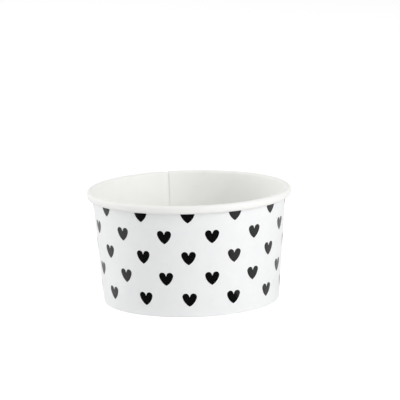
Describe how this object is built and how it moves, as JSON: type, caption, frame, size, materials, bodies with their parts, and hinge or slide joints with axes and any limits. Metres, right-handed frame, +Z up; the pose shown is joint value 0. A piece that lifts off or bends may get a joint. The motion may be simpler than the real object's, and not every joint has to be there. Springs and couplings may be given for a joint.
{
  "type": "paper dessert cup",
  "caption": "Low round paper tub for a single dessert, with a rolled rim, a lapped side seam, a raised floor on a folded foot, and a staggered print of small hearts",
  "frame": {"origin": "middle of the foot, on the surface that the cup stands on", "axes": "+Z up along the cup's axis; -Y is the front, where a column of hearts faces; the side seam is at the back, on +Y and a little towards -X"},
  "size_m": [0.087, 0.087, 0.048],
  "materials": {
    "coated_white_board": "smooth white board with a thin clear coating",
    "white_base_board": "smooth uncoated white board, a little warmer than the wall",
    "black_print": "black print under the wall's clear coating"
  },
  "bodies": {
    "root": {"side_wall": "coated_white_board", "base_disc": "white_base_board", "printed_hearts": "black_print"}
  },
  "joints": []
}
